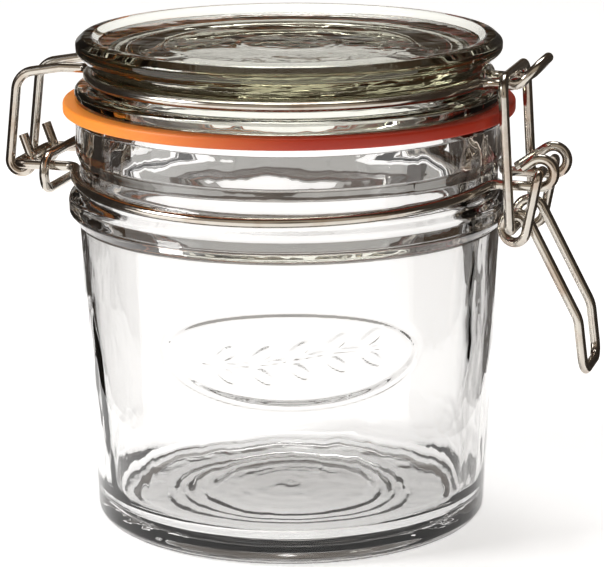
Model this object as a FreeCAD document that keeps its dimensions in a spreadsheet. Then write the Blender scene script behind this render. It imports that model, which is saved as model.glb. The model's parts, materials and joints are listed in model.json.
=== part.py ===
"""Preserving jar with a glass lid, a rubber seal and a wire swing clasp.

The origin is on the jar's axis, in the plane that its foot ring stands on.
+Z is up, the clasp is at +X and the hinge of the lid is at -X.
Every driving size is a cell of the spreadsheet "Sizes", in millimetres or degrees.
"""
import FreeCAD
import Part
import Sketcher

import math
import os

Vector = FreeCAD.Vector

SIZES = {
    # driving sizes; a size that starts with "=" takes its value from others
    "body_top": (44.5, "outer radius of the body at its shoulder"),
    "wire": (2.1, "diameter of every wire"),
    # jar glass: (radius, height) of each turn of its outline
    "body_taper": (3.3, "how much narrower the body is at its foot"),
    "body_foot": ("=body_top - body_taper", "outer radius of the body just over the foot"),
    "foot_in": (5.2, "how far the foot ring's inner edge lies inside the body"),
    "foot_ring": ("=body_foot - foot_in", "radius of the inner edge of the foot ring"),
    "foot_tuck": (1.0, "how far the foot ring's outer edge lies inside the body"),
    "foot_edge": ("=body_foot - foot_tuck", "radius of the outer edge of the foot ring"),
    "foot_rise": (2.6, "height where the body's side starts"),
    "shoulder_z": (64.2, "height of the shoulder"),
    "wall": (2.3, "thickness of the body's wall"),
    "base_dome": (3.2, "rise of the base over the standing plane, at the axis"),
    "base_wall": (3.4, "thickness of the base"),
    "bead_swell": (2.2, "how far the bead stands outside the shoulder"),
    "bead_out": ("=body_top + bead_swell", "outer radius of the bead under the neck"),
    "bead_start": (2.4, "rise from the shoulder to the bead"),
    "bead_low": ("=shoulder_z + bead_start", "lower edge of the bead's round"),
    "bead_tall": (3.2, "height of the bead"),
    "bead_high": ("=bead_low + bead_tall", "upper edge of the bead's round"),
    "neck_step": (0.5, "how far the neck lies inside the shoulder"),
    "neck_out": ("=body_top - neck_step", "outer radius of the neck where its wire lies"),
    "bead_slope": (1.4, "height of the slope over the bead"),
    "neck_low": ("=bead_high + bead_slope", "height where the neck starts"),
    "neck_tall": (7.4, "height of the neck"),
    "lip_low": ("=neck_low + neck_tall", "height where the lip starts"),
    "lip_swell": (1.0, "how far the lip stands outside the neck"),
    "lip_out": ("=neck_out + lip_swell", "outer radius of the lip"),
    "lip_tall": (8.8, "height of the lip"),
    "rim_z": ("=lip_low + lip_tall", "height of the sealing rim"),
    "rim_slope": (0.8, "width of the slope outside the rim"),
    "rim_out": ("=lip_out - rim_slope", "outer radius of the flat of the rim"),
    "rim_chamfer": (1.4, "height of the slope outside the rim"),
    "lip_thick": (5.8, "thickness of the lip"),
    "mouth": ("=lip_out - lip_thick", "inner radius of the mouth"),
    # seal and lid glass
    "seal_in": ("=mouth", "inner radius of the seal"),
    "seal_wide": (8.3, "width of the seal"),
    "seal_out": ("=seal_in + seal_wide", "outer radius of the seal"),
    "seal_thick": (2.5, "thickness of the seal"),
    "flange_out": ("=lip_out", "outer radius of the lid's flange"),
    "flange_thick": (2.9, "thickness of the lid's flange"),
    "groove_deep": (4.1, "depth of the lid's wire groove"),
    "groove_in": ("=flange_out - groove_deep", "radius of the lid's wire groove"),
    "groove_rise": (1.3, "rise from the flange to the bottom of the groove"),
    "groove_play": (0.1, "height that the groove has over its wire"),
    "groove_tall": ("=wire + groove_play", "height of the bottom of the groove"),
    "lid_inset": (0.3, "how far the lid's rim lies inside its flange"),
    "lid_out": ("=flange_out - lid_inset", "outer radius of the lid's rim"),
    "lid_flare": (4.7, "rise from the groove to the lid's widest rim"),
    "lid_rim_z": (
        "=rim_z + seal_thick + flange_thick + groove_rise + groove_tall + lid_flare",
        "height where the lid's rim is widest",
    ),
    "lid_edge": (2.4, "height of the lid's rim over its widest turn"),
    "lid_top_z": ("=lid_rim_z + lid_edge", "height of the lid's top ring"),
    "ring_inset": (1.8, "how far the top ring lies inside the rim"),
    "lid_ring": ("=lid_out - ring_inset", "radius of the top ring"),
    "dish_inset": (5.2, "how far the dish lies inside the rim"),
    "lid_dish": ("=lid_out - dish_inset", "radius of the dish in the lid's top"),
    "dish_deep": (1.3, "depth of the dish"),
    "plug_gap": (1.5, "clearance between the lid's plug and the mouth"),
    "plug_deep": (2.2, "depth of the plug under the flange"),
    "plug_wide": (2.6, "width of the plug's ring"),
    "lid_roof": (5.4, "thickness of the lid's middle"),
    # wires
    "wire_seat": (0.15, "gap between a wire and the groove that it lies in"),
    "wire_corner": (2.6, "bend radius where a wire leaves its groove"),
    # neck wire: hinge frame and hooks
    "neck_wire_rise": (2.35, "gap from the foot of the neck to its wire"),
    "neck_wire_z": (
        "=neck_low + neck_wire_rise + wire / 2",
        "height of the neck wire at the hinge and the clasp",
    ),
    "neck_wire_dip": (2.0, "drop of the neck wire at the jar's sides"),
    "frame_half": (10.25, "half the width of the hinge frame"),
    "hinge_reach": (11.1, "distance of the hinge bar from the bead"),
    "hinge_out": ("=bead_out + hinge_reach", "distance of the hinge bar from the axis"),
    "hook_half": (7.1, "half the distance between the two hooks"),
    "pivot_reach": (7.45, "gap from the bead to the wire at the lever's pivot"),
    "pivot_out": ("=bead_out + pivot_reach + wire / 2", "distance of the lever's pivot from the axis"),
    "hook_play": (0.8, "play of the lever's pins in the hooks"),
    "hook_bend": ("=wire + hook_play", "bend radius of the hooks"),
    "hook_turn": (215.0, "angle that a hook turns through"),
    "hook_tail_near": (2.6, "straight tail of the near hook"),
    "hook_tail_far": (7.5, "straight tail of the far hook"),
    # tie ring over the hinge frame
    "ring_reach": (3.5, "distance of the tie ring from the bead"),
    "ring_out": ("=bead_out + ring_reach", "distance of the tie ring from the axis"),
    "ring_play": (1.1, "play of the tie ring beside the frame"),
    "ring_half": ("=frame_half + wire + ring_play", "half the length of the tie ring's middle line"),
    "ring_bend": (3.6, "bend radius of the tie ring"),
    "ring_seat": (0.1, "gap between the tie ring's upper run and the legs that it hangs on"),
    # lid wire: hinge arms and nose
    "arm_half": (6.9, "half the distance between the two hinge arms"),
    "arm_over": (0.4, "how far the arms' corner lies outside the hinge bar"),
    "arm_top_out": ("=hinge_out + arm_over", "distance of the arms' upper corner from the axis"),
    "arm_drop": (1.7, "drop of the arms from the groove to their upper corner"),
    "arm_bend": (4.6, "bend radius of the arms' upper corner"),
    "arm_play": (0.4, "play of the arms' hooks round the hinge bar"),
    "arm_hook": ("=wire + arm_play", "bend radius of the arms' hooks round the hinge bar"),
    "stub_lean": (20.0, "lean of the hooks' stubs towards the bar, in degrees"),
    "stub_long": (5.2, "length of the hooks' stubs"),
    "nose_half": (5.3, "half the distance between the nose's legs"),
    "nose_reach": (3.6, "distance from the flange to the nose's bend"),
    "nose_start": ("=flange_out + nose_reach", "distance from the axis where the nose bends up"),
    "nose_bend": (3.5, "bend radius of the nose"),
    "nose_lift": (46.0, "angle that the nose bends up by"),
    "nose_run": (0.2, "straight run between the nose's bend and its tip"),
    # lever
    "pin_inner": (5.0, "half the gap between the lever's two pins"),
    "lever_play": (0.3, "side play between the lever and the hooks"),
    "lever_half": ("=hook_half + wire + lever_play", "half the distance between the lever's legs"),
    "eye_in": (5.2, "how far the eyes lie inside the pivot"),
    "eye_down": (11.5, "how far the eyes lie under the pivot"),
    "eye_play": (0.85, "play of the link's feet in the eyes"),
    "eye_bend": ("=wire + eye_play", "bend radius of the eyes"),
    "strand_gap": (0.1, "gap between the strands that cross in an eye"),
    "arm_knee_out": (8.4, "how far the lever's knee lies outside the pivot"),
    "arm_knee_down": (30.2, "how far the lever's knee lies under the pivot"),
    "knee_bend": (7.0, "bend radius of the knee"),
    "lever_tip_out": (9.8, "how far the lever's bar lies outside the pivot"),
    "lever_tip_down": (41.4, "how far the lever's bar lies under the pivot"),
    "lever_bend": (3.2, "bend radius of the other corners of the lever"),
    "pin_bend": (1.5, "bend radius from a pin to its leg"),
    # link
    "link_play": (0.35, "side play between the link and the lever"),
    "link_half": ("=lever_half + wire + link_play", "half the distance between the link's legs"),
    "link_seat": (0.15, "gap between the link's bar and the nose under it"),
    "bar_inset": (0.5, "how far the link's bar lies inside the nose's bend"),
    "link_bar_out": ("=nose_start - bar_inset", "distance of the link's bar from the axis"),
    "link_foot_inner": (5.6, "half the gap between the link's feet"),
    "link_bend": (3.6, "bend radius of the link's upper corners"),
    # rounds of the glass
    "round_small": (0.8, "radius of the small glass rounds"),
    "round_large": (1.6, "radius of the large glass rounds"),
}

doc = FreeCAD.newDocument("preserving_jar")
sheet = doc.addObject("Spreadsheet::Sheet", "Sizes")
for row, (alias, (value, note)) in enumerate(SIZES.items(), start=1):
    sheet.set(f"A{row}", note)
    sheet.set(f"B{row}", str(value))
    sheet.setAlias(f"B{row}", alias)
doc.recompute()


def size(alias):
    """The value of one cell of the sheet."""
    return float(sheet.get(alias))


def bound(text):
    """The expression of a sum of cells, as 'foot_rise + 2 * wall', with the sheet's name put in."""
    words = text.split()
    return " ".join("Sizes." + word if word in SIZES else word for word in words)


def figure(text):
    """The number that the same sum gives now, from the sheet's own expression engine."""
    return float(sheet.evalExpression(bound(text)))


# ---------------------------------------------------------------- turned pieces


def origin_plane(body, role):
    """The body's own origin plane with this role."""
    return next(item for item in body.Origin.OriginFeatures if item.Role == role)


def outline(body, name, corners):
    """A closed outline in the XZ plane: each corner is a (radius, height) pair of sums of cells."""
    sketch = body.newObject("Sketcher::SketchObject", name)
    sketch.AttachmentSupport = [(origin_plane(body, "XZ_Plane"), "")]
    sketch.MapMode = "FlatFace"
    spots = [Vector(figure(radius), figure(height), 0) for radius, height in corners]
    count = len(spots)
    for index in range(count):
        sketch.addGeometry(Part.LineSegment(spots[index], spots[(index + 1) % count]))
    for index in range(count):
        sketch.addConstraint(Sketcher.Constraint("Coincident", index, 2, (index + 1) % count, 1))
    for index, (radius, height) in enumerate(corners):
        for kind, text, axis in (("DistanceX", radius, -2), ("DistanceY", height, -1)):
            if text == "0":
                sketch.addConstraint(Sketcher.Constraint("PointOnObject", index, 1, axis))
                continue
            rule = Sketcher.Constraint(kind, -1, 1, index, 1, figure(text))
            place = sketch.addConstraint(rule)
            sketch.setExpression(f"Constraints[{place}]", bound(text))
    return sketch


def round_edges(body, name, base, radius, spots):
    """A fillet on the turned edges nearest to these (radius, height) spots."""
    doc.recompute()
    names = []
    for spot_radius, spot_height in spots:
        want = (figure(spot_radius), figure(spot_height))
        best = min(
            (
                (math.hypot(edge.Curve.Radius - want[0], edge.Curve.Center.z - want[1]), number)
                for number, edge in enumerate(base.Shape.Edges, start=1)
                if isinstance(edge.Curve, Part.Circle)
            )
        )
        names.append(f"Edge{best[1]}")
    fillet = body.newObject("PartDesign::Fillet", name)
    fillet.Base = (base, names)
    fillet.Radius = size(radius)
    fillet.setExpression("Radius", bound(radius))
    doc.recompute()
    return fillet


def turned(label, corners, rounds):
    """A body of revolution about Z, with its fillets: rounds maps a radius's alias to its spots."""
    body = doc.addObject("PartDesign::Body", label)
    body.Label = label
    sketch = outline(body, f"{label}_outline", corners)
    solid = body.newObject("PartDesign::Revolution", f"{label}_turned")
    solid.Profile = sketch
    solid.ReferenceAxis = (sketch, ["V_Axis"])
    solid.Angle = 360.0
    doc.recompute()
    last = solid
    for radius, spots in rounds.items():
        last = round_edges(body, f"{label}_{radius}", last, radius, spots)
    body.Tip = last
    body.Placement = FreeCAD.Placement()
    return body


JAR_OUTLINE = [
    ("0", "base_dome"),
    ("foot_ring - 2 * wall", "base_dome * 0.5"),
    ("foot_ring", "0"),
    ("foot_edge", "0"),
    ("body_foot", "foot_rise"),
    ("body_top", "shoulder_z"),
    ("bead_out", "bead_low"),
    ("bead_out", "bead_high"),
    ("neck_out", "neck_low"),
    ("neck_out", "lip_low"),
    ("lip_out", "lip_low + 3 * rim_chamfer"),
    ("lip_out", "rim_z - rim_chamfer"),
    ("rim_out", "rim_z"),
    ("mouth", "rim_z"),
    ("mouth", "neck_low"),
    ("body_top - wall", "shoulder_z - 2 * wall"),
    ("body_foot - wall", "foot_rise + 2 * wall + base_wall"),
    ("body_foot - 3 * wall", "foot_rise + base_wall * 0.7"),
    ("0", "base_dome + base_wall"),
]

LID_OUTLINE = [
    ("0", "lid_top_z - dish_deep - lid_roof"),
    ("mouth - plug_gap - plug_wide - dish_deep", "rim_z + seal_thick + flange_thick * 0.6"),
    ("mouth - plug_gap - plug_wide", "rim_z + seal_thick - plug_deep"),
    ("mouth - plug_gap - plug_wide * 0.3", "rim_z + seal_thick - plug_deep"),
    ("mouth - plug_gap", "rim_z + seal_thick"),
    ("flange_out", "rim_z + seal_thick"),
    ("flange_out", "rim_z + seal_thick + flange_thick"),
    ("groove_in + wire * 0.5", "rim_z + seal_thick + flange_thick"),
    ("groove_in", "rim_z + seal_thick + flange_thick + groove_rise"),
    ("groove_in", "rim_z + seal_thick + flange_thick + groove_rise + groove_tall"),
    ("lid_out", "lid_rim_z"),
    ("lid_ring", "lid_top_z"),
    ("lid_dish + dish_deep", "lid_top_z"),
    ("lid_dish", "lid_top_z - dish_deep"),
    ("0", "lid_top_z - dish_deep"),
]

SEAL_OUTLINE = [
    ("seal_in", "rim_z"),
    ("seal_out", "rim_z"),
    ("seal_out", "rim_z + seal_thick"),
    ("seal_in", "rim_z + seal_thick"),
]

jar_glass = turned(
    "jar_glass",
    JAR_OUTLINE,
    {
        "round_small": [("foot_edge", "0"), ("lip_out", "rim_z - rim_chamfer"), ("mouth", "rim_z")],
        "round_large": [("bead_out", "bead_low"), ("bead_out", "bead_high")],
    },
)
lid_glass = turned(
    "lid_glass",
    LID_OUTLINE,
    {
        "round_small": [("flange_out", "rim_z + seal_thick + flange_thick"), ("lid_ring", "lid_top_z")],
        "round_large": [("lid_out", "lid_rim_z")],
    },
)
seal = turned("seal", SEAL_OUTLINE, {})


# ---------------------------------------------------------------- bent wires


def line(start, end):
    """A straight edge, or none where the two ends meet."""
    return [] if (end - start).Length < 1e-6 else [Part.LineSegment(start, end).toShape()]


def arc(centre, first, second, radius, start, end):
    """An arc in the plane of two unit vectors, from one angle to another in degrees."""

    def at(angle):
        turn = math.radians(angle)
        return centre + first * (radius * math.cos(turn)) + second * (radius * math.sin(turn))

    return [Part.Arc(at(start), at((start + end) / 2), at(end)).toShape()]


def bent(points, radii):
    """Edges along a list of points, with each inner corner rounded by its radius."""
    edges = []
    last = points[0]
    for corner, after, radius in zip(points[1:-1], points[2:], radii):
        back = (last - corner).normalize()
        ahead = (after - corner).normalize()
        half = back.getAngle(ahead) / 2
        cut = radius / math.tan(half)
        inward = (back + ahead).normalize()
        middle = corner + inward * (radius / math.sin(half) - radius)
        start = corner + back * cut
        end = corner + ahead * cut
        edges += line(last, start)
        edges.append(Part.Arc(start, middle, end).toShape())
        last = end
    return edges + line(last, points[-1])


def mirrored(edges):
    """The same edges on the far side of the XZ plane."""
    return [edge.mirror(Vector(0, 0, 0), Vector(0, 1, 0)) for edge in edges]


def groove_run(radius, height, back_half, front_half, corner):
    """The near half of a wire round a groove, turned outwards at both ends.

    It starts where the back corner ends, at y = -back_half, and stops where the front corner ends.
    """
    centre = Vector(0, 0, height)
    east = Vector(1, 0, 0)
    north = Vector(0, 1, 0)
    edges = []
    turns = []
    corners = []
    for side, half in ((-1, back_half), (1, front_half)):
        reach = math.sqrt((radius + corner) ** 2 - (half + corner) ** 2)
        corners.append(Vector(side * reach, -half - corner, height))
        turns.append(math.degrees(math.atan2(-half - corner, side * reach)))
    edges += arc(corners[0], east, north, corner, 90, turns[0] + 180)
    edges += arc(centre, east, north, radius, turns[0], turns[1])
    edges += arc(corners[1], east, north, corner, turns[1] + 180, 90)
    return edges, corners[0].x, corners[1].x


def neck_dip():
    """The angle, in degrees, by which each half of the neck wire dips from the hinge frame's legs."""
    radius = size("neck_out") + size("wire") / 2 + size("wire_seat")
    return math.degrees(math.asin(size("neck_wire_dip") / (radius - size("frame_half"))))


def dipped(point):
    """A point on the near side turned with the near half of the neck wire."""
    foot = Vector(0, -size("frame_half"), size("neck_wire_z"))
    return FreeCAD.Rotation(Vector(1, 0, 0), neck_dip()).multVec(point - foot) + foot


def wire_piece(label, edges, closed=False):
    """A round wire swept along tangent edges, as a feature of the document."""
    path = Part.Wire(Part.sortEdges(edges)[0])
    first = path.OrderedEdges[0]
    start = first.valueAt(first.FirstParameter)
    tangent = first.tangentAt(first.FirstParameter)
    if first.Orientation == "Reversed":
        start = first.valueAt(first.LastParameter)
        tangent = first.tangentAt(first.LastParameter)
    section = Part.Wire(Part.makeCircle(size("wire") / 2, start, tangent))
    solid = path.makePipeShell([section], not closed, False)
    if closed:
        solid = Part.Solid(solid)
    expected = math.pi * size("wire") ** 2 / 4 * path.Length
    if abs(solid.Volume / expected - 1) > 0.01:
        raise ValueError(f"{label}: volume {solid.Volume:.1f}, expected {expected:.1f}")
    feature = doc.addObject("Part::Feature", label)
    feature.Label = label
    feature.Shape = solid
    feature.Placement = FreeCAD.Placement()
    return feature


def neck_wire():
    """The wire round the neck, with the hinge frame at the back and two hooks at the clasp."""
    radius = size("neck_out") + size("wire") / 2 + size("wire_seat")
    height = size("neck_wire_z")
    frame = size("frame_half")
    hook = size("hook_half")
    bend = size("hook_bend")
    corner = size("wire_corner")
    run, back_x, front_x = groove_run(radius, height, frame, hook, corner)
    turn_line = Vector(0, -frame, height)
    for edge in run:
        edge.rotate(turn_line, Vector(1, 0, 0), neck_dip())
    hinge = Vector(-size("hinge_out"), 0, height)
    near_corner = Vector(-size("hinge_out"), -frame, height)
    edges = bent([hinge, near_corner, Vector(back_x, -frame, height)], [corner])
    leg_start = dipped(Vector(front_x, -hook, height))
    pivot = Vector(size("pivot_out"), leg_start.y, leg_start.z + bend)
    leg = line(leg_start, pivot - Vector(0, 0, bend))
    turn = size("hook_turn")
    curl = arc(pivot, Vector(1, 0, 0), Vector(0, 0, 1), bend, -90, turn - 90)
    end = curl[0].valueAt(curl[0].LastParameter)
    away = math.radians(turn)
    heading = Vector(math.cos(away), 0, math.sin(away))
    pieces = {}
    for side, tail in (("near", "hook_tail_near"), ("far", "hook_tail_far")):
        pieces[side] = edges + run + leg + curl + line(end, end + heading * size(tail))
    return wire_piece("neck_wire", pieces["near"] + mirrored(pieces["far"]))


def tie_ring():
    """The closed oblong ring that ties the two legs of the hinge frame together."""
    bend = size("ring_bend")
    straight = size("ring_half") - bend
    height = size("neck_wire_z") + size("wire") + size("ring_seat") - bend
    north = Vector(0, 1, 0)
    up = Vector(0, 0, 1)
    middle = Vector(-size("ring_out"), 0, height)
    edges = arc(middle + north * straight, north, up, bend, -90, 90)
    edges += line(middle + north * straight + up * bend, middle - north * straight + up * bend)
    edges += arc(middle - north * straight, north, up, bend, 90, 270)
    edges += line(middle - north * straight - up * bend, middle + north * straight - up * bend)
    return wire_piece("tie_ring", edges, closed=True)


def lid_wire():
    """The wire round the lid, with two hinge arms at the back and a closed nose at the clasp."""
    east = Vector(1, 0, 0)
    up = Vector(0, 0, 1)
    radius = size("groove_in") + size("wire") / 2 + size("wire_seat")
    height = lid_wire_height()
    arm = size("arm_half")
    nose = size("nose_half")
    run, back_x, front_x = groove_run(radius, height, arm, nose, size("wire_corner"))
    bar = Vector(-size("hinge_out"), -arm, size("neck_wire_z"))
    hook = size("arm_hook")
    top = Vector(-size("arm_top_out"), -arm, height - size("arm_drop"))
    reach = math.hypot(top.x - bar.x, top.z - bar.z)
    lean = math.degrees(math.acos(hook / reach))
    lean = math.degrees(math.atan2(top.z - bar.z, top.x - bar.x)) + lean
    stub = size("stub_lean")
    curl = arc(bar, east, up, hook, stub, lean - 360)
    stub_start = curl[0].valueAt(curl[0].FirstParameter)
    stub_turn = math.radians(stub)
    stub_end = stub_start + Vector(-math.sin(stub_turn), 0, math.cos(stub_turn)) * size("stub_long")
    edges = line(stub_end, stub_start) + curl
    knee = Vector(back_x - size("arm_bend"), -arm, height)
    arm_points = [curl[0].valueAt(curl[0].LastParameter), top, knee, Vector(back_x, -arm, height)]
    edges += bent(arm_points, [size("arm_bend"), size("arm_bend")])
    edges += run
    start = Vector(size("nose_start"), -nose, height)
    edges += line(Vector(front_x, -nose, height), start)
    lift = size("nose_lift")
    bend = size("nose_bend")
    rise = arc(start + up * bend, east, up, bend, -90, lift - 90)
    end = rise[0].valueAt(rise[0].LastParameter)
    heading = Vector(math.cos(math.radians(lift)), 0, math.sin(math.radians(lift)))
    tip = end + heading * size("nose_run")
    edges += rise + line(end, tip)
    edges += arc(tip + Vector(0, nose, 0), Vector(0, -1, 0), heading, nose, 0, 90)
    return wire_piece("lid_wire", edges + mirrored(edges))


def lid_wire_height():
    """The height of the lid wire's middle line in its groove."""
    return figure("rim_z + seal_thick + flange_thick + groove_rise + groove_tall / 2")


def pivot_point():
    """The lever's pivot, in the middle of the hooks."""
    leg = dipped(Vector(0, -size("hook_half"), size("neck_wire_z")))
    return Vector(size("pivot_out"), 0, leg.z + size("hook_bend"))


def eye_point():
    """The middle of the lever's eyes, where the link turns."""
    return pivot_point() + Vector(-size("eye_in"), 0, -size("eye_down"))


def lever():
    """The lever: two pins, two legs, two eyes, two arms and the bar that a thumb lifts."""
    north = Vector(0, 1, 0)
    pivot = pivot_point()
    eye = eye_point()
    half = size("lever_half")
    bend = size("eye_bend")
    step = size("wire") + size("strand_gap")
    # leg: the tangent from the pivot to the clasp side of the eye
    span = eye - pivot
    swing = math.asin(bend / span.Length)
    along = Vector(span).normalize()
    heading = FreeCAD.Rotation(Vector(0, -1, 0), math.degrees(swing)).multVec(along)
    leg_end = pivot + heading * (span.Length * math.cos(swing)) + Vector(0, -half, 0)
    inward = (eye + Vector(0, -half, 0) - leg_end).normalize()
    corner = pivot + Vector(0, -half, 0)
    edges = bent([pivot + Vector(0, -size("pin_inner"), 0), corner, leg_end], [size("pin_bend")])
    # eye: half a turn that steps sideways by one wire, then an arc to the arm
    rise = math.asin(step / (2 * bend))
    toward = inward * math.cos(rise) + north * math.sin(rise)
    centre = leg_end + toward * bend
    edges += arc(centre, toward * -1, heading, bend, 0, 180)
    turned_at = leg_end + toward * (2 * bend)
    centre = turned_at - inward * bend
    knee = pivot + Vector(size("arm_knee_out"), -half + step, -size("arm_knee_down"))
    reach = knee - centre
    spread = math.degrees(math.acos(bend / reach.Length))
    goal = math.degrees(math.atan2(reach.dot(heading * -1), reach.dot(inward)))
    curl = arc(centre, inward, heading * -1, bend, 0, (goal - spread) % 360)
    edges += curl
    tip = pivot + Vector(size("lever_tip_out"), -half + step, -size("lever_tip_down"))
    edges += bent(
        [curl[0].valueAt(curl[0].LastParameter), knee, tip, Vector(tip.x, 0, tip.z)],
        [size("knee_bend"), size("lever_bend")],
    )
    return wire_piece("lever", edges + mirrored(edges))


def link():
    """The link: a bail whose feet turn in the lever's eyes and whose bar holds the nose down."""
    eye = eye_point()
    half = size("link_half")
    bar = Vector(size("link_bar_out"), 0, lid_wire_height() + size("wire") + size("link_seat"))
    points = [
        eye + Vector(0, -size("link_foot_inner"), 0),
        eye + Vector(0, -half, 0),
        bar + Vector(0, -half, 0),
        bar,
    ]
    edges = bent(points, [size("pin_bend"), size("link_bend")])
    return wire_piece("link", edges + mirrored(edges))


PIECES = [jar_glass, lid_glass, seal, neck_wire(), tie_ring(), lid_wire(), lever(), link()]
doc.recompute()

for item in doc.Objects:
    if "Invalid" in item.State or "Error" in item.State:
        raise RuntimeError(f"{item.Name}: {item.State}")
os.makedirs("parts", exist_ok=True)
for piece in PIECES:
    if piece.Shape.isNull() or not piece.Shape.isValid():
        raise RuntimeError(f"{piece.Label} has no valid shape")
    box = piece.Shape.BoundBox
    print(f"{piece.Label:10s} {piece.Shape.Volume:9.1f} mm3  x {box.XMin:7.2f} {box.XMax:7.2f}"
          f"  y {box.YMin:7.2f} {box.YMax:7.2f}  z {box.ZMin:7.2f} {box.ZMax:7.2f}")
for piece in PIECES:
    piece.Shape.exportStep(f"parts/{piece.Label}.step")
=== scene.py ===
"""Looks of a squat glass preserving jar: glass, lid, rubber seal and a wire swing clasp.

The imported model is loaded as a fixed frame. The glass and the seal are made again as finer turned
pieces that stay close to their solids, and the bent wires keep their own solids and get a steel
finish. The jar's own sizes are in millimetres and become metres where a mesh is made. Sizes inside
a finish and in the studio are in metres.
"""

import json
import logging
import math
from dataclasses import dataclass, field
from enum import Enum
from typing import Any, Callable, Sequence

import bmesh
import bpy
from mathutils import Matrix, Vector

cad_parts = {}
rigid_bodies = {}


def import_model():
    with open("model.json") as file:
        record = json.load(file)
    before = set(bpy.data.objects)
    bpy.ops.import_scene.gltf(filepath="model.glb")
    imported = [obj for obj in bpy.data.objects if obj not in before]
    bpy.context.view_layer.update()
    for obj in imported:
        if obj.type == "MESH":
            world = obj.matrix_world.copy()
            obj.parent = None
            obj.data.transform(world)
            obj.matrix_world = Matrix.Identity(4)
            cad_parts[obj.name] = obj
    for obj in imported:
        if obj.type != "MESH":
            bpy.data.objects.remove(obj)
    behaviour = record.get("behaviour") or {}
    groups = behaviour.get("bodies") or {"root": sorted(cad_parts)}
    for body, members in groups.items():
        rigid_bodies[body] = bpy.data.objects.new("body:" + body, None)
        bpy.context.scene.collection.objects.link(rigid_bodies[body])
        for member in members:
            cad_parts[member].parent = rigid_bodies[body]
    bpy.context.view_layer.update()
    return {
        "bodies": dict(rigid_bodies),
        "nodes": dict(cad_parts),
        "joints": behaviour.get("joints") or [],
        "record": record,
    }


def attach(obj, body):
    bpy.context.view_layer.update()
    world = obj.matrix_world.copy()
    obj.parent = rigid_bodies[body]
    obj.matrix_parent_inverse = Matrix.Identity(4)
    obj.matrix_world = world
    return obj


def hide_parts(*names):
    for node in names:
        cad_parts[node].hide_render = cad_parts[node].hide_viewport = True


LOG = logging.getLogger("preserving_jar")
MM = 0.001
FULL_TURN = 2 * math.pi
ON_AXIS = 1e-4
NEARLY_STRAIGHT = math.radians(89.5)
Colour = tuple[float, float, float]
Profile = list[tuple[float, float]]
Relief = Callable[[float, int], float]


class Slot(Enum):
    """The record's material slot names; nothing in this script uses them."""

    GLASS = "glass"
    SEAL = "seal"


class Rider(Enum):
    """The bodies that the new pieces ride on."""

    JAR = "jar"
    LID = "lid"


# ------------------------------------------------------------------ helpers


def shown(name: str, data: bpy.types.ID) -> bpy.types.Object:
    """Puts a mesh, a camera or a light into the scene.

    Args:
        name: The new object's name.
        data: What it shows.

    Returns:
        The object, at the origin.
    """
    made = bpy.data.objects.new(name, data)
    bpy.context.scene.collection.objects.link(made)
    return made


def opaque(colour: Colour) -> tuple[float, float, float, float]:
    """The colour with full opacity."""
    return (*colour, 1.0)


class Nodes:
    """A thin wrapper that adds and joins the nodes of one tree."""

    def __init__(self, tree: bpy.types.NodeTree) -> None:
        """Empties the tree.

        Args:
            tree: The node tree to fill.
        """
        self.tree = tree
        tree.nodes.clear()

    def add(self, kind: str, **values: object) -> bpy.types.Node:
        """Adds a node.

        Args:
            kind: The node's type name.
            values: Its attributes; a name that is one of its sockets' is set there instead, with
                underscores for spaces.

        Returns:
            The node.
        """
        node = self.tree.nodes.new(kind)
        for name, value in values.items():
            if hasattr(node, name):
                setattr(node, name, value)
            else:
                node.inputs[name.replace("_", " ")].default_value = value
        return node

    def join(
        self, start: bpy.types.Node, output: str | int, end: bpy.types.Node, socket: str | int
    ) -> None:
        """Links one node's output to another's input.

        Args:
            start: The node that gives.
            output: The name or number of its output.
            end: The node that takes.
            socket: The name or number of its input.
        """
        self.tree.links.new(start.outputs[output], end.inputs[socket])


class FinishNodes(Nodes):
    """The nodes of a new material that shows one principled shader."""

    def __init__(self, name: str, **values: object) -> None:
        """Makes the material, its output and its shader.

        Args:
            name: The material's name.
            values: The shader's values, as add() takes them.
        """
        self.material = bpy.data.materials.new(name)
        self.material.use_nodes = True
        super().__init__(self.material.node_tree)
        self.out = self.add("ShaderNodeOutputMaterial")
        self.shader = self.add("ShaderNodeBsdfPrincipled", **values)
        self.join(self.shader, "BSDF", self.out, "Surface")

    def roughen(self, height: bpy.types.Node, strength: float, depth: float) -> None:
        """Lets a noise raise the surface as a bump.

        Args:
            height: The noise.
            strength: How much of the bump shows.
            depth: Its depth, in metres.
        """
        bump = self.add("ShaderNodeBump", Strength=strength, Distance=depth)
        self.join(height, "Fac", bump, "Height")
        self.join(bump, "Normal", self.shader, "Normal")

    def vary_gloss(self, pattern: bpy.types.Node, smooth: float, dull: float) -> None:
        """Lets a noise vary the roughness.

        Args:
            pattern: The noise.
            smooth: The roughness where it is 0.
            dull: The roughness where it is 1.
        """
        spread = self.add("ShaderNodeMapRange", To_Min=smooth, To_Max=dull)
        self.join(pattern, "Fac", spread, "Value")
        self.join(spread, "Result", self.shader, "Roughness")

    def blend_colours(self, share: bpy.types.Node, first: Colour, second: Colour) -> None:
        """Blends two colours into the base colour.

        Args:
            share: The map range whose result is the second colour's share.
            first: The colour at 0.
            second: The colour at 1.
        """
        colour = self.add("ShaderNodeMix", data_type="RGBA", A=opaque(first), B=opaque(second))
        self.join(share, "Result", colour, "Factor")
        self.join(colour, "Result", self.shader, "Base Color")


# ------------------------------------------------------------------ finishes


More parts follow.
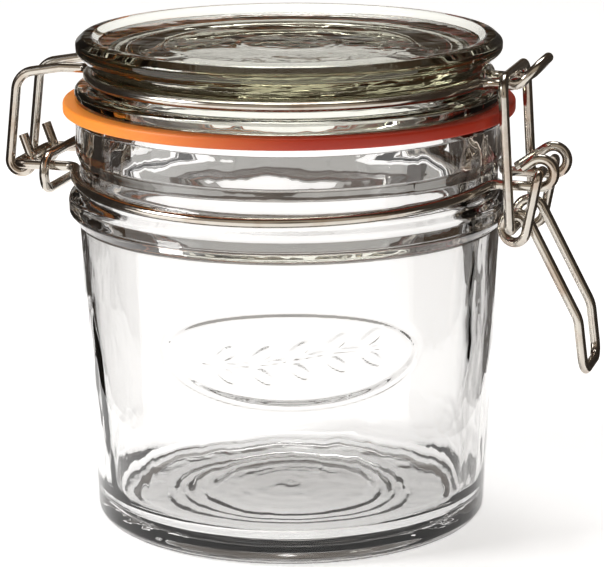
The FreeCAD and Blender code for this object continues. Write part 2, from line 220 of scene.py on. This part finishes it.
@dataclass(frozen=True)
class GlassFinish:
    """Clear pressed glass with a faint body colour and a slightly uneven skin."""

    name: str = "pressed clear glass"
    tint: Colour = (0.952, 0.95, 0.946)
    index: float = 1.5
    roughness: float = 0.0
    body_colour: Colour = (0.64, 0.62, 0.6)
    density: float = 5.0
    ripple_stretch: tuple[float, float, float] = (1.0, 1.0, 0.45)
    ripple_scale: float = 42.0
    ripple_detail: float = 3.5
    ripple_break: float = 0.5
    ripple_strength: float = 0.5
    ripple_depth: float = 0.0012

    def material(self) -> bpy.types.Material:
        """Makes the material.

        Returns:
            The glass material, with noise for its ripples and absorption for its colour.
        """
        nodes = FinishNodes(
            self.name,
            Base_Color=opaque(self.tint),
            Roughness=self.roughness,
            IOR=self.index,
            Transmission_Weight=1.0,
        )
        where = nodes.add("ShaderNodeTexCoord")
        stretch = nodes.add("ShaderNodeMapping", Scale=self.ripple_stretch)
        ripple = nodes.add(
            "ShaderNodeTexNoise",
            Scale=self.ripple_scale,
            Detail=self.ripple_detail,
            Roughness=self.ripple_break,
        )
        absorb = nodes.add(
            "ShaderNodeVolumeAbsorption", Color=opaque(self.body_colour), Density=self.density
        )
        nodes.join(where, "Object", stretch, "Vector")
        nodes.join(stretch, "Vector", ripple, "Vector")
        nodes.roughen(ripple, self.ripple_strength, self.ripple_depth)
        nodes.join(absorb, "Volume", nodes.out, "Volume")
        return nodes.material


@dataclass(frozen=True)
class RubberFinish:
    """Orange rubber with painted shade that deepens it to brick red across the ring, away from the
    key light, with a bloom and fine grain.
    """

    name: str = "orange seal rubber"
    # Painted shade: the lit orange and the deep brick red are the two ends of a ramp along X that
    # paints the ring darker on the side away from the key light.
    painted_lit_orange: Colour = (0.92, 0.29, 0.035)
    deep: Colour = (0.43, 0.026, 0.006)
    painted_shade_start: float = -0.034
    painted_shade_end: float = 0.02
    smooth: float = 0.34
    chalky: float = 0.54
    specular: float = 0.5
    glow_share: float = 0.25
    glow_depth: float = 0.002
    glow_reach: tuple[float, float, float] = (1.0, 0.25, 0.06)
    bloom_scale: float = 70.0
    bloom_detail: float = 4.0
    grain_scale: float = 900.0
    grain_detail: float = 3.0
    grain_strength: float = 0.25
    grain_depth: float = 0.0001

    def material(self) -> bpy.types.Material:
        """Makes the material.

        Returns:
            The rubber material, whose colour darkens along X as painted shade.
        """
        nodes = FinishNodes(
            self.name,
            Subsurface_Weight=self.glow_share,
            Subsurface_Scale=self.glow_depth,
            Subsurface_Radius=self.glow_reach,
            Specular_IOR_Level=self.specular,
        )
        where = nodes.add("ShaderNodeTexCoord")
        split = nodes.add("ShaderNodeSeparateXYZ")
        # Painted shade: this ramp along X blends the lit orange into the deep brick red, standing
        # in for the key light's fall-off across the ring.
        across = nodes.add(
            "ShaderNodeMapRange",
            interpolation_type="SMOOTHSTEP",
            From_Min=self.painted_shade_start,
            From_Max=self.painted_shade_end,
        )
        bloom = nodes.add("ShaderNodeTexNoise", Scale=self.bloom_scale, Detail=self.bloom_detail)
        grain = nodes.add("ShaderNodeTexNoise", Scale=self.grain_scale, Detail=self.grain_detail)
        for taker in (split, bloom, grain):
            nodes.join(where, "Object", taker, "Vector")
        nodes.join(split, "X", across, "Value")
        nodes.blend_colours(across, self.painted_lit_orange, self.deep)
        nodes.vary_gloss(bloom, self.smooth, self.chalky)
        nodes.roughen(grain, self.grain_strength, self.grain_depth)
        return nodes.material


@dataclass(frozen=True)
class WireFinish:
    """Bright drawn steel wire with bronze staining and fine draw marks."""

    name: str = "bright steel wire"
    bright: Colour = (0.6, 0.56, 0.5)
    stained: Colour = (0.36, 0.23, 0.14)
    smooth: float = 0.08
    dull: float = 0.23
    stain_scale: float = 95.0
    stain_detail: float = 4.0
    stain_break: float = 0.6
    stain_start: float = 0.5
    stain_end: float = 0.75
    stain_most: float = 0.8
    mark_scale: float = 1500.0
    mark_detail: float = 2.0
    mark_strength: float = 0.15
    mark_depth: float = 0.00004

    def material(self) -> bpy.types.Material:
        """Makes the material.

        Returns:
            The steel material.
        """
        nodes = FinishNodes(self.name, Metallic=1.0)
        where = nodes.add("ShaderNodeTexCoord")
        stain = nodes.add(
            "ShaderNodeTexNoise",
            Scale=self.stain_scale,
            Detail=self.stain_detail,
            Roughness=self.stain_break,
        )
        spread = nodes.add(
            "ShaderNodeMapRange",
            From_Min=self.stain_start,
            From_Max=self.stain_end,
            To_Max=self.stain_most,
        )
        marks = nodes.add("ShaderNodeTexNoise", Scale=self.mark_scale, Detail=self.mark_detail)
        for taker in (stain, marks):
            nodes.join(where, "Object", taker, "Vector")
        nodes.join(stain, "Fac", spread, "Value")
        nodes.blend_colours(spread, self.bright, self.stained)
        nodes.vary_gloss(marks, self.smooth, self.dull)
        nodes.roughen(marks, self.mark_strength, self.mark_depth)
        return nodes.material


# ------------------------------------------------------------------ turned shapes


@dataclass(frozen=True)
class Corner:
    """A corner of a turned outline: its radius, its height and the radius of its round."""

    radius: float
    height: float
    round: float = 0.0

    def spot(self) -> Vector:
        """The corner's place in the outline."""
        return Vector((self.radius, self.height))


def rounded(corners: Sequence[Corner], step: float = 1.2, turn: float = 9.0) -> Profile:
    """Rounds the corners of an outline with arcs and splits its straight runs.

    Args:
        corners: The corners, in order; the first and last stay sharp.
        step: The longest straight piece, in millimetres.
        turn: The largest turn between two points of an arc, in degrees.

    Returns:
        The points of the outline.
    """
    points = [corners[0].spot()]
    for before, here, after in zip(corners, corners[1:], corners[2:]):
        spot = here.spot()
        back = (before.spot() - spot).normalized()
        ahead = (after.spot() - spot).normalized()
        half = back.angle(ahead) / 2
        if here.round <= 0 or half > NEARLY_STRAIGHT:
            points.append(spot)
            continue
        cut = here.round / math.tan(half)
        centre = spot + (back + ahead).normalized() * (here.round / math.sin(half))
        start = spot + back * cut - centre
        sweep = math.pi - 2 * half
        if start.x * ahead.y - start.y * ahead.x < 0:
            sweep = -sweep
        count = max(2, math.ceil(abs(math.degrees(sweep)) / turn))
        for index in range(count + 1):
            points.append(centre + Matrix.Rotation(sweep * index / count, 2) @ start)
    points.append(corners[-1].spot())
    dense: Profile = [tuple(points[0])]
    for last, point in zip(points, points[1:]):
        pieces = max(1, math.ceil((point - last).length / step))
        dense += [tuple(last.lerp(point, index / pieces)) for index in range(1, pieces + 1)]
    return dense


def evenly(start: float, stop: float, step: float) -> list[float]:
    """Divides a turn into equal steps.

    Args:
        start: The first angle, in radians.
        stop: The angle that the last step would reach, which is left out.
        step: The largest step.

    Returns:
        The angles.
    """
    count = max(1, math.ceil((stop - start) / step))
    return [start + (stop - start) * index / count for index in range(count)]


def turned_mesh(
    name: str, profile: Profile, angles: Sequence[float], relief: Relief
) -> bpy.types.Object:
    """Turns a profile that starts and ends on the axis, or closes on itself, into a mesh.

    Args:
        name: The object's name.
        profile: The (radius, height) points, in millimetres.
        angles: The angles of its columns, in radians, once round.
        relief: Extra radius, in millimetres, at an angle and an index along the profile.

    Returns:
        The object, at the origin, with its faces pointing outwards.
    """
    mesh = bmesh.new()
    rows: list[list[bmesh.types.BMVert]] = []
    for index, (radius, height) in enumerate(profile):
        if radius < ON_AXIS:
            rows.append([mesh.verts.new((0.0, 0.0, height * MM))])
            continue
        row = []
        for angle in angles:
            reach = (radius + relief(angle, index)) * MM
            spot = (reach * math.cos(angle), reach * math.sin(angle), height * MM)
            row.append(mesh.verts.new(spot))
        rows.append(row)
    count = len(angles)
    pairs = list(zip(rows, rows[1:]))
    if len(rows[0]) > 1:
        pairs.append((rows[-1], rows[0]))
    for lower, upper in pairs:
        for index in range(count):
            following = (index + 1) % count
            ring = [lower[index % len(lower)], lower[following % len(lower)]]
            ring += [upper[following % len(upper)], upper[index % len(upper)]]
            mesh.faces.new(list(dict.fromkeys(ring)))
    bmesh.ops.recalc_face_normals(mesh, faces=mesh.faces)
    for face in mesh.faces:
        face.smooth = True
    data = bpy.data.meshes.new(name)
    mesh.to_mesh(data)
    mesh.free()
    return shown(name, data)


def bell(distance: float, width: float) -> float:
    """Gives the height of a smooth ridge.

    Args:
        distance: The distance from its crest.
        width: The distance at which it ends.

    Returns:
        1 at the crest, falling to 0 at the end and beyond.
    """
    share = min(1.0, abs(distance) / width)
    return (1 - share * share) ** 2


@dataclass(frozen=True)
class Wave:
    """One part of the uneven inside: its share, its waves in a turn, its climb and its shift."""

    share: float
    count: int
    climb: float
    shift: float

    def at(self, angle: float, height: float) -> float:
        """Gives the wave's height.

        Args:
            angle: The angle round the glass, in radians.
            height: The height, in millimetres.

        Returns:
            The height of the wave, at most its share.
        """
        return self.share * math.sin(self.count * angle + height * self.climb + self.shift)


# ------------------------------------------------------------------ the jar


@dataclass
class SprigPanel:
    """A raised oval frame with a plain leafy sprig, pressed into the front of the jar."""

    facing: float = math.radians(-74.0)
    height: float = 44.5
    half_wide: float = 27.0
    half_tall: float = 10.0
    margin: float = 3.0
    ridge: float = 1.5
    rise: float = 0.5
    frame_from: float = 0.9
    least_reach: float = 0.05
    least_slope: float = 0.02
    stem_rise: float = 1.6
    stem_half_wide: float = 0.55
    stem_share: float = 0.8
    leaves: int = 5
    leaf_long: float = 6.2
    leaf_wide: float = 2.6
    leaf_pitch: float = 7.4
    leaf_back: float = 1.5
    leaf_middle: float = 0.62
    leaf_steep: float = 2.2
    leaf_lean: float = math.radians(34.0)
    vein_share: float = 0.45
    vein_half_wide: float = 0.28

    def relief(self, across: float, above: float) -> float:
        """Gives the height of the relief.

        Args:
            across: Distance along the glass from the panel's middle, in millimetres.
            above: Distance over the panel's middle, in millimetres.

        Returns:
            The extra radius, in millimetres.
        """
        if abs(across) > self.half_wide + self.margin or abs(above) > self.half_tall + self.margin:
            return 0.0
        reach = math.hypot(across / self.half_wide, above / self.half_tall)
        slope = math.hypot(across / self.half_wide**2, above / self.half_tall**2)
        slope /= max(reach, self.least_reach)
        height = bell((reach - 1) / max(slope, self.least_slope), self.ridge)
        if reach > self.frame_from:
            return height * self.rise
        if abs(across) < self.leaf_pitch * self.leaves / 2:
            stem = self.stem_share * bell(above - self.stem(across), self.stem_half_wide)
            height = max(height, stem)
        for index in range(self.leaves):
            root = (index - (self.leaves - 1) / 2) * self.leaf_pitch - self.leaf_back
            for side in (-1, 1):
                height = max(height, self.leaf(across - root, above - self.stem(root), side))
        return height * self.rise

    def stem(self, across: float) -> float:
        """The stem's height over the panel's middle, at a distance across it."""
        return self.stem_rise * math.sin(across / self.half_wide * math.pi)

    def leaf(self, across: float, above: float, side: int) -> float:
        """Gives the height of one leaf that grows from the stem to one side.

        Args:
            across: Distance from the leaf's foot along the stem.
            above: Distance from the leaf's foot over the stem.
            side: 1 over the stem or -1 under it.

        Returns:
            The share of the relief's height here.
        """
        along = across * math.cos(self.leaf_lean) + side * above * math.sin(self.leaf_lean)
        beside = -across * math.sin(self.leaf_lean) + side * above * math.cos(self.leaf_lean)
        along = (along - self.leaf_long * self.leaf_middle) / (self.leaf_long / 2)
        beside = beside / (self.leaf_wide / 2)
        inside = 1 - along * along - beside * beside
        if inside <= 0:
            return 0.0
        vein = self.vein_share * bell(beside, self.vein_half_wide)
        return min(1.0, inside * self.leaf_steep) - vein


@dataclass
class JarGlass:
    """The jar's glass: a tapering body on a foot ring, a bead, a grooved neck and a thick lip."""

    finish: GlassFinish = field(default_factory=GlassFinish)
    panel: SprigPanel = field(default_factory=SprigPanel)
    panel_half_turn: float = math.radians(42.0)
    panel_margin: float = 1.5
    panel_pieces: int = 3
    wall_from: float = 30.0
    fine_turn: float = math.radians(0.6)
    coarse_turn: float = math.radians(2.0)
    dome: float = 2.9
    dome_radius: float = 34.0
    ripple: float = 0.2
    ripple_step: float = 0.6
    ripple_rows: int = 43
    ripple_pitch: float = 1.6
    ripple_drift: float = 0.55
    ripple_least: float = 0.06
    ripple_ring: float = 20.5
    ripple_reach: float = 6.0
    wave: float = 0.09
    waves: tuple[Wave, ...] = (
        Wave(1.0, 3, 0.06, 0.0),
        Wave(0.7, 8, -0.05, 1.0),
        Wave(0.4, 17, 0.09, 2.0),
    )
    fold: float = 0.17
    fold_count: int = 15
    fold_climb: float = 0.02
    fold_middle: float = math.radians(-22.0)
    fold_reach: float = math.radians(24.0)
    calm_radius: float = 38.0
    calm_power: int = 8
    calm_height: float = 84.0
    calm_run: float = 6.0

    def base(self, radius: float) -> Corner:
        """Gives a point of the domed base with its fine rings.

        Args:
            radius: The point's distance from the axis.

        Returns:
            The point, as a corner without a round.
        """
        ring = math.cos(radius * self.ripple_pitch + math.sin(radius * self.ripple_drift))
        share = self.ripple_least + bell(radius - self.ripple_ring, self.ripple_reach)
        dome = self.dome * (1 - (radius / self.dome_radius) ** 2)
        return Corner(radius, dome + self.ripple * ring * share)

    def outer(self) -> list[Corner]:
        """Gives the outside of the glass.

        Returns:
            Its corners, from the middle of the base up to the rim.
        """
        return [self.base(index * self.ripple_step) for index in range(self.ripple_rows)] + [
            Corner(27.0, 1.5, 3.0),
            Corner(32.0, 1.2, 1.5),
            Corner(34.4, 0.0, 1.0),
            Corner(41.6, 0.0, 2.8),
            Corner(41.9, 9.0, 20.0),
            Corner(42.6, 23.0, 60.0),
            Corner(44.45, 62.2, 4.0),
            Corner(44.55, 64.2, 1.4),
            Corner(46.7, 66.6, 1.6),
            Corner(46.7, 69.8, 1.5),
            Corner(44.0, 71.2, 1.2),
            Corner(44.0, 76.7, 1.5),
            Corner(45.0, 79.0, 2.0),
            Corner(45.0, 86.0, 1.1),
            Corner(44.2, 87.4, 0.6),
            Corner(41.5, 87.4),
        ]

    def inner(self) -> list[Corner]:
        """Gives the inside of the glass.

        Returns:
            Its corners, from the rim down to the middle of the floor.
        """
        return [
            Corner(41.5, 87.4),
            Corner(39.2, 87.4, 1.0),
            Corner(39.2, 73.5, 3.5),
            Corner(42.2, 64.5, 7.0),
            Corner(41.9, 50.0, 40.0),
            Corner(39.5, 4.4, 5.5),
            Corner(0.0, 6.0),
        ]

    def build(self) -> bpy.types.Object:
        """Turns the glass and presses the panel into it.

        Returns:
            The glass.
        """
        outside = self.dense_panel(rounded(self.outer()))
        profile = outside + rounded(self.inner())[1:]
        split = len(outside)
        facing = self.panel.facing
        half = self.panel_half_turn
        angles = evenly(facing - half, facing + half, self.fine_turn)
        angles += evenly(facing + half, facing - half + FULL_TURN, self.coarse_turn)

        def relief(angle: float, index: int) -> float:
            """Gives the panel on the outside and a soft unevenness on the inside.

            Args:
                angle: The angle round the glass.
                index: The number of the profile's point.

            Returns:
                The extra radius, in millimetres.
            """
            radius, height = profile[index]
            if index >= split:
                return self.unevenness(angle, radius, height)
            turn = (angle - facing + math.pi) % FULL_TURN - math.pi
            return self.panel.relief(turn * radius, height - self.panel.height)

        return turned_mesh("jar_glass_turned", profile, angles, relief)

    def unevenness(self, angle: float, radius: float, height: float) -> float:
        """Gives the waves of the inside, which end short of the floor's middle and the rim.

        Args:
            angle: The angle round the glass.
            radius: The distance from the axis.
            height: The height.

        Returns:
            The extra radius, in millimetres.
        """
        calm = min(1.0, max(0.0, self.calm_height - height) / self.calm_run)
        fade = min(1.0, radius / self.calm_radius) ** self.calm_power * calm
        away = (angle - self.fold_middle + math.pi) % FULL_TURN - math.pi
        fold = self.fold * bell(away, self.fold_reach)
        fold *= math.sin(self.fold_count * angle + height * self.fold_climb)
        waves = sum(wave.at(angle, height) for wave in self.waves)
        return fade * fold + fade * self.wave * waves

    def dense_panel(self, profile: Profile) -> Profile:
        """Splits the outline finely where the panel is.

        Args:
            profile: The outline of the outside.

        Returns:
            The outline with more points.
        """
        low = self.panel.height - self.panel.half_tall - self.panel_margin
        high = self.panel.height + self.panel.half_tall + self.panel_margin
        dense: Profile = [profile[0]]
        for (radius_a, height_a), (radius_b, height_b) in zip(profile, profile[1:]):
            inside = radius_b > self.wall_from and low < height_b < high
            pieces = self.panel_pieces if inside else 1
            for index in range(1, pieces + 1):
                share = index / pieces
                radius = radius_a + (radius_b - radius_a) * share
                dense.append((radius, height_a + (height_b - height_a) * share))
        return dense

    def dress(self, piece: bpy.types.Object) -> None:
        """Gives the glass its finish and its place on the frame.

        Args:
            piece: What build() returned.
        """
        piece.data.materials.append(self.finish.material())
        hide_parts("jar_glass")
        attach(piece, Rider.JAR.value)


@dataclass
class LidGlass:
    """The glass lid: a flange on the seal, a groove for its wire, a flared rim, a shallow dish."""

    turn: float = math.radians(1.1)
    wave: float = 0.05
    wave_count: int = 5
    wave_climb: float = 0.3
    wave_rows: tuple[int, int] = (4, 30)
    finish: GlassFinish = field(
        default_factory=lambda: GlassFinish(
            name="pressed olive glass",
            tint=(0.97, 0.98, 0.95),
            body_colour=(0.62, 0.6, 0.4),
            density=25.0,
        )
    )

    def corners(self) -> list[Corner]:
        """Gives the lid's outline.

        Returns:
            Its corners, from the middle of the underside round to the middle of the top.
        """
        return [
            Corner(0.0, 96.7),
            Corner(10.0, 96.7, 2.0),
            Corner(11.2, 96.1, 1.0),
            Corner(26.0, 95.6, 4.0),
            Corner(33.6, 92.6, 4.0),
            Corner(35.1, 87.7, 0.6),
            Corner(36.9, 87.7, 0.8),
            Corner(37.8, 89.9, 0.3),
            Corner(45.0, 89.9, 0.7),
            Corner(45.0, 92.8, 1.0),
            Corner(42.0, 92.9, 1.0),
            Corner(40.9, 94.1, 0.9),
            Corner(40.9, 96.3, 1.5),
            Corner(44.7, 100.3, 1.6),
            Corner(44.7, 102.0, 1.2),
            Corner(43.2, 103.4, 1.2),
            Corner(41.2, 103.4, 1.0),
            Corner(39.6, 102.1, 1.2),
            Corner(20.0, 102.1, 30.0),
            Corner(0.0, 102.0),
        ]

    def build(self) -> bpy.types.Object:
        """Turns the lid.

        Returns:
            The lid.
        """
        wavy = range(*self.wave_rows)

        def relief(angle: float, index: int) -> float:
            """Gives a soft unevenness of the underside.

            Args:
                angle: The angle round the lid.
                index: The number of the profile's point.

            Returns:
                The extra radius, in millimetres.
            """
            if index not in wavy:
                return 0.0
            return self.wave * math.sin(self.wave_count * angle + index * self.wave_climb)

        angles = evenly(0.0, FULL_TURN, self.turn)
        return turned_mesh("lid_glass_turned", rounded(self.corners()), angles, relief)

    def dress(self, piece: bpy.types.Object) -> None:
        """Gives the lid its finish and its place on the frame.

        Args:
            piece: What build() returned.
        """
        piece.data.materials.append(self.finish.material())
        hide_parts("lid_glass")
        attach(piece, Rider.LID.value)


# ------------------------------------------------------------------ the seal


@dataclass
class Seal:
    """The flat rubber ring, swept round a circle by a geometry tree."""

    inner: float = 39.2
    outer: float = 47.5
    low: float = 87.43
    thick: float = 2.44
    edge: float = 0.55
    edge_pieces: int = 4
    columns: int = 256
    finish: RubberFinish = field(default_factory=RubberFinish)

    def tree(self, material: bpy.types.Material) -> bpy.types.NodeTree:
        """Makes the tree that sweeps a rounded strip round a circle.

        Args:
            material: The finish that the tree sets.

        Returns:
            The geometry tree, with named inputs for the ring's sizes.
        """
        tree = bpy.data.node_groups.new("seal_ring", "GeometryNodeTree")
        tree.interface.new_socket("Geometry", in_out="INPUT", socket_type="NodeSocketGeometry")
        for name in ("Middle radius", "Width", "Thickness", "Edge round", "Height"):
            tree.interface.new_socket(name, in_out="INPUT", socket_type="NodeSocketFloat")
        tree.interface.new_socket("Geometry", in_out="OUTPUT", socket_type="NodeSocketGeometry")
        nodes = Nodes(tree)
        given = nodes.add("NodeGroupInput")
        out = nodes.add("NodeGroupOutput")
        circle = nodes.add("GeometryNodeCurvePrimitiveCircle", Resolution=self.columns)
        strip = nodes.add("GeometryNodeCurvePrimitiveQuadrilateral")
        fillet = nodes.add("GeometryNodeFilletCurve", mode="POLY", Count=self.edge_pieces)
        sweep = nodes.add("GeometryNodeCurveToMesh")
        lift = nodes.add("GeometryNodeTransform")
        place = nodes.add("ShaderNodeCombineXYZ")
        realize = nodes.add("GeometryNodeRealizeInstances")
        smooth = nodes.add("GeometryNodeSetShadeSmooth")
        finish = nodes.add("GeometryNodeSetMaterial", Material=material)
        nodes.join(given, "Middle radius", circle, "Radius")
        nodes.join(given, "Width", strip, "Width")
        nodes.join(given, "Thickness", strip, "Height")
        nodes.join(strip, 0, fillet, "Curve")
        nodes.join(given, "Edge round", fillet, "Radius")
        nodes.join(circle, 0, sweep, "Curve")
        nodes.join(fillet, 0, sweep, "Profile Curve")
        nodes.join(given, "Height", place, "Z")
        nodes.join(sweep, 0, lift, "Geometry")
        nodes.join(place, 0, lift, "Translation")
        for start, end in ((lift, realize), (realize, smooth), (smooth, finish), (finish, out)):
            nodes.join(start, 0, end, 0)
        return tree

    def build(self) -> bpy.types.Object:
        """Runs the tree once and keeps its result as a plain mesh.

        Returns:
            The seal.
        """
        holder = shown("seal_source", bpy.data.meshes.new("seal_source"))
        modifier = holder.modifiers.new("ring", "NODES")
        modifier.node_group = self.tree(self.finish.material())
        sizes = {
            "Middle radius": (self.inner + self.outer) / 2,
            "Width": self.outer - self.inner,
            "Thickness": self.thick,
            "Edge round": self.edge,
            "Height": self.low + self.thick / 2,
        }
        for item in modifier.node_group.interface.items_tree:
            if item.name in sizes:
                modifier[item.identifier] = sizes[item.name] * MM
        graph = bpy.context.evaluated_depsgraph_get()
        data = bpy.data.meshes.new_from_object(holder.evaluated_get(graph))
        bpy.data.objects.remove(holder)
        return shown("seal_ring", data)

    def dress(self, piece: bpy.types.Object) -> None:
        """Gives the seal its place on the frame; the tree has set its finish.

        Args:
            piece: What build() returned.
        """
        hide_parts("seal")
        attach(piece, Rider.LID.value)


# ------------------------------------------------------------------ the wires


@dataclass
class Wires:
    """The bent wires, which keep their own solids."""

    names: tuple[str, ...] = ("neck_wire", "tie_ring", "lid_wire", "lever", "link")
    finish: WireFinish = field(default_factory=WireFinish)

    def dress(self, frame: dict[str, Any]) -> None:
        """Gives each wire of the frame the steel finish.
        """
        material = self.finish.material()
        for name in self.names:
            data = frame["nodes"][name].data
            data.materials.clear()
            data.materials.append(material)
            LOG.info("%s dressed", name)


# ------------------------------------------------------------------ the studio


@dataclass(frozen=True)
class Patch:
    """A soft round patch of light in the room: where it is, its size in degrees, its colour."""

    right: float
    ahead: float
    up: float
    half_turn: float
    soft: float
    colour: Colour


@dataclass(frozen=True)
class Card:
    """An upright black card: where its two ends are and how tall it is."""

    name: str
    right: tuple[float, float]
    ahead: tuple[float, float]
    tall: float


@dataclass(frozen=True)
class Lamp:
    """A soft square light: where it hangs, how wide it is and its power in watts."""

    name: str
    right: float
    ahead: float
    up: float
    wide: float
    power: float


@dataclass
class Studio:
    """A pale, faintly glowing table in a dim warm room with soft patches of light, and the camera.

    Places are given from the camera's side: to the right of the jar, behind it and over the table.
    """

    turn: float = math.radians(16.0)
    camera_reach: float = 0.6
    camera_height: float = 0.19693
    look_down: float = math.radians(13.82)
    look_aside: float = math.radians(0.24)
    roll: float = math.radians(-0.25)
    lens: float = 172.59
    sensor: float = 36.0
    sight: float = 50.0
    floor_half: tuple[float, float] = (1.0, 0.925)
    floor_ahead: float = -0.075
    floor_drop: float = 0.0002
    floor_colour: Colour = (0.9, 0.9, 0.9)
    floor_roughness: float = 0.7
    floor_glow: float = 0.58
    card_colour: Colour = (0.03, 0.021, 0.014)
    card_roughness: float = 0.9
    lamp_aim: float = 0.05
    room: Colour = (0.05, 0.034, 0.022)
    patches: tuple[Patch, ...] = (
        Patch(0.0, -1.0, 0.1, 48.0, 12.0, (0.47, 0.41, 0.34)),
        Patch(0.0, -1.0, 0.22, 9.0, 4.0, (0.015, 0.012, 0.01)),
        Patch(0.0, 1.0, -0.577, 37.0, 3.0, (0.4, 0.39, 0.37)),
        Patch(0.0, 1.0, -0.36, 13.0, 3.0, (0.95, 0.95, 0.95)),
        Patch(-0.2, 0.5, 1.0, 10.0, 3.0, (1.8, 1.8, 1.8)),
        Patch(-0.85, -0.35, 0.35, 15.0, 4.0, (2.4, 2.4, 2.4)),
    )
    cards: tuple[Card, ...] = (
        Card("left card", (-0.1, -0.115), (-0.03, 0.25), 0.16),
        Card("right card", (0.092, 0.125), (-0.06, 0.5), 0.16),
    )
    lamps: tuple[Lamp, ...] = (
        Lamp("key light", -0.75, -0.25, 0.5, 0.3, 4.5),
        Lamp("top light", 0.0, 0.3, 1.1, 0.5, 4.6),
    )

    def placed(self, right: float, ahead: float, up: float) -> Vector:
        """Gives a place in the room.

        Args:
            right: How far it is to the right.
            ahead: How far it is behind the jar.
            up: How high it is.

        Returns:
            The place, in the frame's own axes.
        """
        side = Vector((math.cos(self.turn), math.sin(self.turn), 0.0))
        away = Vector((-math.sin(self.turn), math.cos(self.turn), 0.0))
        return side * right + away * ahead + Vector((0.0, 0.0, up))

    def camera(self) -> None:
        """Sets the camera up."""
        data = bpy.data.cameras.new("camera")
        data.lens = self.lens
        data.sensor_width = self.sensor
        data.clip_end = self.sight
        made = shown("camera", data)
        level = math.cos(self.look_down)
        aside, onward = math.sin(self.look_aside), math.cos(self.look_aside)
        gaze = self.placed(aside * level, onward * level, -math.sin(self.look_down))
        right = self.placed(onward, -aside, 0.0)
        over = right.cross(gaze)
        tilted_right = right * math.cos(self.roll) + over * math.sin(self.roll)
        tilted_up = over * math.cos(self.roll) - right * math.sin(self.roll)
        turn = Matrix((tilted_right, tilted_up, -gaze)).transposed().to_4x4()
        place = self.placed(0.0, -self.camera_reach, self.camera_height)
        made.matrix_world = Matrix.Translation(place) @ turn
        bpy.context.scene.camera = made

    def sheet(self, name: str, spots: Sequence[Vector], finish: FinishNodes) -> bpy.types.Object:
        """Makes a flat sheet that belongs to the studio.

        Args:
            name: The sheet's name.
            spots: Its four corners, in order.
            finish: The nodes of its material.

        Returns:
            The sheet.
        """
        data = bpy.data.meshes.new(name)
        data.from_pydata(spots, [], [(0, 1, 2, 3)])
        made = shown(name, data)
        data.materials.append(finish.material)
        return made

    def floor(self) -> None:
        """Lays the pale table."""
        wide, deep = self.floor_half
        corners = [(-wide, -deep), (wide, -deep), (wide, deep), (-wide, deep)]
        spots = [self.placed(x, y + self.floor_ahead, -self.floor_drop) for x, y in corners]
        finish = FinishNodes(
            "pale floor",
            Base_Color=opaque(self.floor_colour),
            Roughness=self.floor_roughness,
            Emission_Color=(1.0, 1.0, 1.0, 1.0),
            Emission_Strength=self.floor_glow,
        )
        self.sheet("floor", spots, finish)

    def stand(self, card: Card) -> None:
        """Stands a card beside the jar, unseen by the camera, for the dark edges of the glass.

        Args:
            card: The card.
        """
        corners = [(0, 0.0), (1, 0.0), (1, card.tall), (0, card.tall)]
        spots = [self.placed(card.right[end], card.ahead[end], up) for end, up in corners]
        finish = FinishNodes(
            card.name, Base_Color=opaque(self.card_colour), Roughness=self.card_roughness
        )
        made = self.sheet(card.name, spots, finish)
        made.visible_camera = False
        made.visible_shadow = False
        made.visible_diffuse = False

    def hang(self, lamp: Lamp) -> None:
        """Hangs a lamp so that it faces the jar.

        Args:
            lamp: The lamp.
        """
        data = bpy.data.lights.new(lamp.name, "AREA")
        data.size = lamp.wide
        data.energy = lamp.power
        made = shown(lamp.name, data)
        place = self.placed(lamp.right, lamp.ahead, lamp.up)
        aim = Vector((0.0, 0.0, self.lamp_aim)) - place
        facing = aim.to_track_quat("-Z", "Y").to_matrix().to_4x4()
        made.matrix_world = Matrix.Translation(place) @ facing

    def world(self) -> None:
        """Makes the dim room and lays each patch of light over it."""
        made = bpy.data.worlds.new("studio")
        bpy.context.scene.world = made
        made.use_nodes = True
        nodes = Nodes(made.node_tree)
        out = nodes.add("ShaderNodeOutputWorld")
        back = nodes.add("ShaderNodeBackground", Strength=1.0)
        where = nodes.add("ShaderNodeTexCoord")
        total, output = nodes.add("ShaderNodeRGB"), "Color"
        total.outputs[output].default_value = opaque(self.room)
        for patch in self.patches:
            facing = nodes.add("ShaderNodeVectorMath", operation="DOT_PRODUCT")
            middle = self.placed(patch.right, patch.ahead, patch.up).normalized()
            facing.inputs[1].default_value = middle
            edge = nodes.add(
                "ShaderNodeMapRange",
                interpolation_type="SMOOTHSTEP",
                From_Min=math.cos(math.radians(patch.half_turn + patch.soft)),
                From_Max=math.cos(math.radians(patch.half_turn - patch.soft)),
            )
            glow = nodes.add("ShaderNodeMix", data_type="RGBA", B=opaque(patch.colour))
            nodes.join(where, "Generated", facing, 0)
            nodes.join(facing, "Value", edge, "Value")
            nodes.join(edge, "Result", glow, "Factor")
            nodes.join(total, output, glow, "A")
            total, output = glow, "Result"
        nodes.join(total, output, back, "Color")
        nodes.join(back, "Background", out, "Surface")

    def build(self) -> None:
        """Sets up the whole studio."""
        bpy.context.scene.view_settings.view_transform = "Standard"
        self.world()
        self.floor()
        self.camera()
        for card in self.cards:
            self.stand(card)
        for lamp in self.lamps:
            self.hang(lamp)


def main() -> None:
    """Builds and dresses every piece around the frame, in order."""
    logging.basicConfig(level=logging.INFO, format="%(name)s: %(message)s")
    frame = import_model()
    for maker in (JarGlass(), LidGlass(), Seal()):
        piece = maker.build()
        maker.dress(piece)
        LOG.info("%s made", piece.name)
    Wires().dress(frame)
    Studio().build()
    LOG.info("studio set up")


if __name__ == "__main__":
    main()
